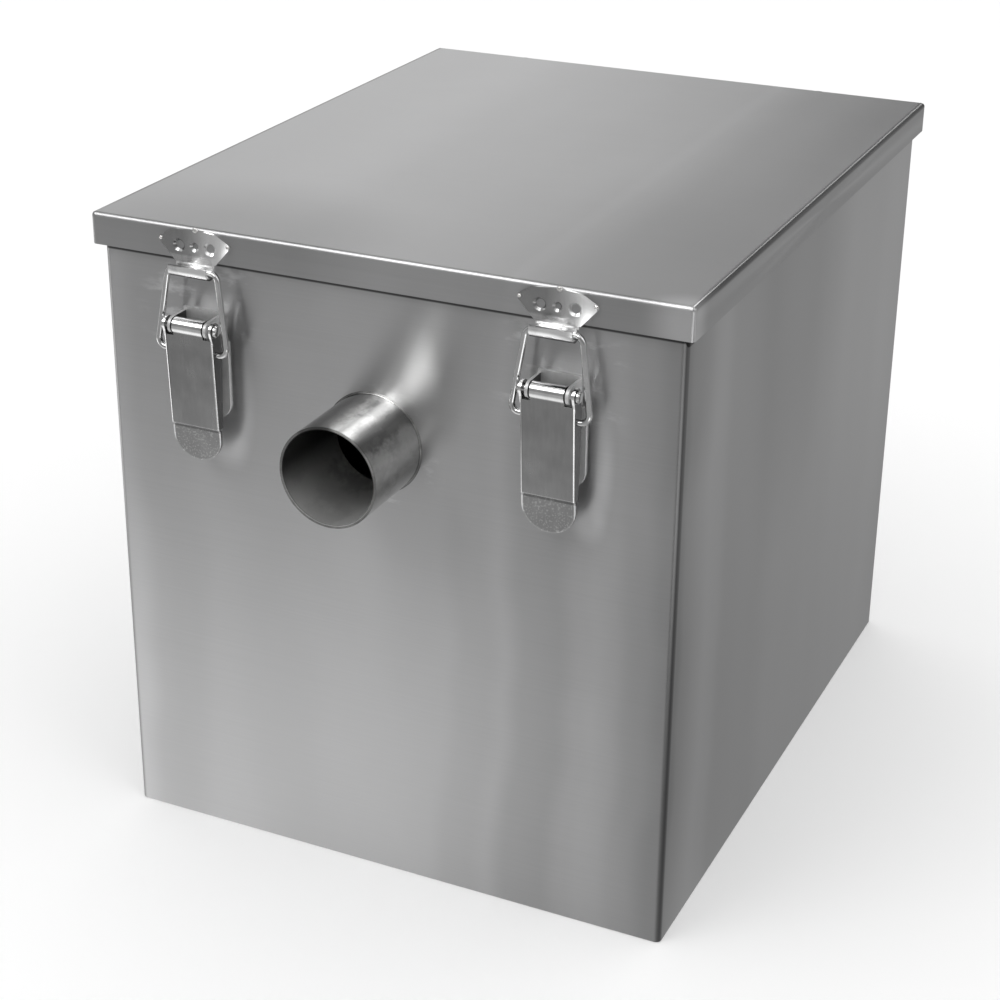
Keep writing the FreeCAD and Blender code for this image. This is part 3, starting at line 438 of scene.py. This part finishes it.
BY_SLOT = {
    "tank_steel": brushed_steel(
        "wall_steel", SHEET_GREY, (6, 6, 1300), (16, 16, 2), "Z", 0.25, skirt_and_corner_shade=True,
        # The stripes and patches below are painted reflections, light and shade: light beside both latches, the
        # pipe's reflection above it and shade on the right.
        across=((-0.15, 0.002, 0.018, 0.18), (-0.118, 0.004, 0.02, -0.04), (0.045, 0.005, 0.018, -0.06),
                (0.081, 0.008, 0.022, -0.13), (0.115, 0.004, 0.013, 0.05), (0.15, 0.003, 0.016, -0.1)),
        deep=((-WALL_Y, 0.003, 0.012, -0.14), (-WALL_Y, 0.004, 0.034, -0.12), (-0.135, 0.006, 0.02, 0.05),
              (-0.09, 0.02, 0.06, -0.1), (0.11, 0.03, 0.1, 0.09)),
        spots=(front_patch(0.145, 0.12, 0.04, 0.16, -0.17), front_patch(0.12, 0.29, 0.05, 0.04, 0.06),
               front_patch(-0.078, 0.25, 0.011, 0.045, 0.4), front_patch(-0.084, 0.222, 0.013, 0.017, 0.35),
               front_patch(0.1115, 0.25, 0.008, 0.04, 0.35), front_patch(0.106, 0.22, 0.011, 0.015, 0.3),
               front_patch(0.021, 0.275, 0.012, 0.034, 0.3),
               ((0.15, -0.17, 0.3), (0.05, 0.04, 0.09), -0.2), ((0.15, -0.02, 0.29), (0.05, 0.1, 0.17), -0.18)),
        worn=((-0.004, 0.234, 0.024, 0.042), (-0.0952, 0.29, 0.02, 0.042), (0.0908, 0.29, 0.02, 0.042))),
    "lid_steel": brushed_steel(
        "top_steel", SHEET_GREY, (6, 1300, 1300), (16, 2, 16), "X", 0.0, bend=True,
        # The stripes and patches below are painted reflections, light and shade; the long folded edges get painted
        # shade.
        across=((-0.11, 0.02, 0.09, 0.05), (0.068, 0.001, 0.007, 0.03), (0.15, 0.05, 0.085, -0.13)),
        spots=(((-0.08, -0.19, LID_TOP), (0.11, 0.1, 0.05), -0.24),
               ((0.1, -0.16, LID_TOP), (0.12, 0.2, 0.05), -0.12),
               ((0.15, -0.19, 0.324), (0.022, 0.02, 0.03), 0.4))),
    "inner_steel": brushed_steel("inner_sheet", (0.45, 0.45, 0.452), (20, 20, 600), (16, 16, 2), "Z", 0.25,
                                 roughness=0.42, anisotropy=0.3),
    "wire_steel": polished_steel("wire_metal", (0.72, 0.72, 0.72), 0.12, (500, 500, 90)),
    "gasket_rubber": rubber("gasket"),
}
BY_NODE = {"pipe_steel": pipe_steel, "latch_steel": latch_steel}
for part in frame["record"]["subparts"]:
    slot = part["material_slot"]
    finish = BY_NODE[slot](part["node"]) if slot in BY_NODE else BY_SLOT[slot]
    mesh = frame["nodes"][part["node"]].data
    for index in range(len(mesh.materials)):
        mesh.materials[index] = finish


# Weld tacks

def add_bead(shape, x, z, size, face, out):
    """A small uneven bead, flattened toward the wall and half sunk in the keeper."""
    made = bmesh.ops.create_icosphere(shape, subdivisions=3, radius=size)
    for vert in made["verts"]:
        lump = noise.noise(vert.co * 1500 + Vector((x * 900, z * 700, face * 50)))
        vert.co = vert.co * (1 + 0.35 * lump)
        vert.co.y *= 0.6
        vert.co += Vector((x, face + out * 0.0012, z))


def weld_tacks():
    """The beads that hold each keeper to the lid: one on its top edge and one at each ear."""
    shape = bmesh.new()
    for part in frame["record"]["subparts"]:
        if not part["node"].endswith("keeper"):
            continue
        low, high = corners(part["node"])
        out = -1 if low.y < 0 else 1
        face = low.y if out > 0 else high.y
        middle = (low.x + high.x) / 2
        top = high.z - (0.0001 if out < 0 else 0.0016)  # the back ones stay below the lid's top
        add_bead(shape, middle + 0.001, top, 0.0013, face, out)
        add_bead(shape, low.x + 0.0004, high.z - 0.0062, 0.0009, face, out)
        add_bead(shape, high.x - 0.0004, high.z - 0.0060, 0.0010, face, out)
    mesh = bpy.data.meshes.new("weld_tacks")
    shape.to_mesh(mesh)
    shape.free()
    for polygon in mesh.polygons:
        polygon.use_smooth = True
    tacks = bpy.data.objects.new("weld_tacks", mesh)
    bpy.context.scene.collection.objects.link(tacks)
    mesh.materials.append(polished_steel("weld_bead", (0.85, 0.84, 0.82), 0.24, (900, 900, 900)))
    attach(tacks, "trap")


weld_tacks()


# Studio

def studio_floor():
    """A white floor that keeps the shadow. Metal sees it grey, with soft pools of light round the trap."""
    mesh = bpy.data.meshes.new("studio_floor")
    reach = 9.0
    mesh.from_pydata([(-reach, -reach, 0), (reach, -reach, 0), (reach, reach, 0), (-reach, reach, 0)], [],
                     [(0, 1, 2, 3)])
    floor = bpy.data.objects.new("studio_floor", mesh)
    bpy.context.scene.collection.objects.link(floor)
    material, nodes = new_material("floor_white")
    place = nodes.place()
    seen = 0.37
    for x, y, inner, outer, strength in (
            (-0.2, -0.26, 0.08, 0.42, 0.66),
            (0.4, 0.9, 0.2, 0.9, 0.08),
            (0.5, -0.65, 0.12, 0.34, 1.6),
            (-0.75, -0.25, 0.1, 0.34, 2.0),
            (1.3, 0.0, 0.1, 0.65, 0.45),
            (-1.4, 0.1, 0.1, 0.65, 0.45),
            (-0.15, 1.25, 0.1, 0.6, 0.4)):
        pool = nodes.fade(nodes.distance(place, (x, y, 0)), inner, outer, strength, 0.0)
        seen = nodes.math("ADD", seen, pool)
    path = nodes.add("ShaderNodeLightPath").outputs
    mirrored = nodes.add("ShaderNodeEmission", {"Color": WHITE, "Strength": seen}).outputs[0]
    plain = nodes.add("ShaderNodeBsdfDiffuse", {"Color": (0.92, 0.92, 0.92, 1)}).outputs[0]
    lift = nodes.add("ShaderNodeEmission", {
        "Color": WHITE, "Strength": nodes.math("MULTIPLY", path["Is Camera Ray"], 0.07)}).outputs[0]
    paper = nodes.add("ShaderNodeAddShader", {0: plain, 1: lift}).outputs[0]
    nodes.add("ShaderNodeOutputMaterial", {"Surface": nodes.choose(path["Is Glossy Ray"], paper, mirrored)})
    mesh.materials.append(material)


def softbox(nodes, ray, bearing, height, inner, outer, strength):
    """A round soft light in the world: its bearing from the front toward +X, height and two radii in degrees."""
    a, e = math.radians(bearing), math.radians(height)
    aim = (math.sin(a) * math.cos(e), -math.cos(a) * math.cos(e), math.sin(e))
    dot = nodes.add("ShaderNodeVectorMath", {0: ray, 1: aim}, operation="DOT_PRODUCT").outputs["Value"]
    return nodes.fade(dot, math.cos(math.radians(outer)), math.cos(math.radians(inner)), 0.0, strength)


def studio_world():
    """A white room in which metal sees a pale ceiling, a long strip overhead and soft boxes around."""
    world = bpy.data.worlds.new("studio")
    bpy.context.scene.world = world
    nodes = Nodes(world)
    ray = nodes.add("ShaderNodeTexCoord").outputs["Generated"]
    across, behind, up = nodes.split(ray)
    strip = nodes.math("MULTIPLY", nodes.fade(nodes.math("ABSOLUTE", across), 0.06, 0.17, 1.0, 0.0),
                       nodes.math("MULTIPLY", nodes.fade(up, 0.45, 0.55), nodes.fade(up, 0.8, 0.92, 1.0, 0.0)))
    strip = nodes.math("MULTIPLY", strip, nodes.fade(behind, -0.2, 0.2, 5.0, 4.2))
    level = nodes.math("ADD", strip, nodes.fade(up, 0.72, 0.95, 0.24, 0.55))
    for box in ((-150, 10.5, 3, 20, 1.2),   # low behind on the left
                (-42, 48, 8, 21, 3.5),      # high in front on the left, the main one
                (60, 50, 8, 24, 0.8),       # high on the right
                (-90, 14, 6, 26, 0.45),     # low on each side
                (90, 14, 6, 26, 0.45),
                (125, 14, 6, 26, 0.35)):    # low behind on the right
        level = nodes.math("ADD", level, softbox(nodes, ray, *box))
    glossy = nodes.add("ShaderNodeLightPath").outputs["Is Glossy Ray"]
    room = nodes.add("ShaderNodeBackground", {"Color": WHITE, "Strength": level}).outputs[0]
    white = nodes.add("ShaderNodeBackground", {"Color": WHITE, "Strength": 1.0}).outputs[0]
    nodes.add("ShaderNodeOutputWorld", {"Surface": nodes.choose(glossy, white, room)})


def lamp(name, place, size, energy):
    """A square soft lamp aimed at the middle of the trap."""
    data = bpy.data.lights.new(name, "AREA")
    data.size = size
    data.energy = energy
    light = bpy.data.objects.new(name, data)
    light.location = place
    aim = Vector((0, 0, 0.16))
    light.rotation_euler = (aim - Vector(place)).to_track_quat("-Z", "Y").to_euler()
    bpy.context.scene.collection.objects.link(light)


studio_floor()
studio_world()
lamp("key", (-0.9, -1.5, 1.9), 1.2, 6.0)
lamp("fill", (1.6, -0.6, 1.4), 1.2, 3.0)


# Camera

def photo_camera():
    """A camera from its place, bearing, height angle and roll, with lens and centre in pixels of the photo."""
    place = Vector((0.4364, -1.0057, 0.6443))
    bearing, height, roll = (math.radians(angle) for angle in (25.78, 24.28, 0.09))
    lens, centre, width = 2152.0, (457.5, 468.8), 1000
    forward = Vector((-math.sin(bearing) * math.cos(height), math.cos(bearing) * math.cos(height),
                      -math.sin(height)))
    right = forward.cross(Vector((0, 0, 1))).normalized()
    up = right.cross(forward)
    across = right * math.cos(roll) + up * math.sin(roll)
    upward = -right * math.sin(roll) + up * math.cos(roll)
    data = bpy.data.cameras.new("photo_camera")
    data.sensor_fit = "HORIZONTAL"
    data.sensor_width = 36.0
    data.lens = lens / width * data.sensor_width
    data.shift_x = (width / 2 - centre[0]) / width
    data.shift_y = (centre[1] - width / 2) / width
    data.clip_start = 0.01
    camera = bpy.data.objects.new("photo_camera", data)
    turn = Matrix((across, upward, -forward)).transposed()
    camera.matrix_world = Matrix.Translation(place) @ turn.to_4x4()
    bpy.context.scene.collection.objects.link(camera)
    bpy.context.scene.camera = camera


photo_camera()
bpy.context.scene.view_settings.view_transform = "Standard"
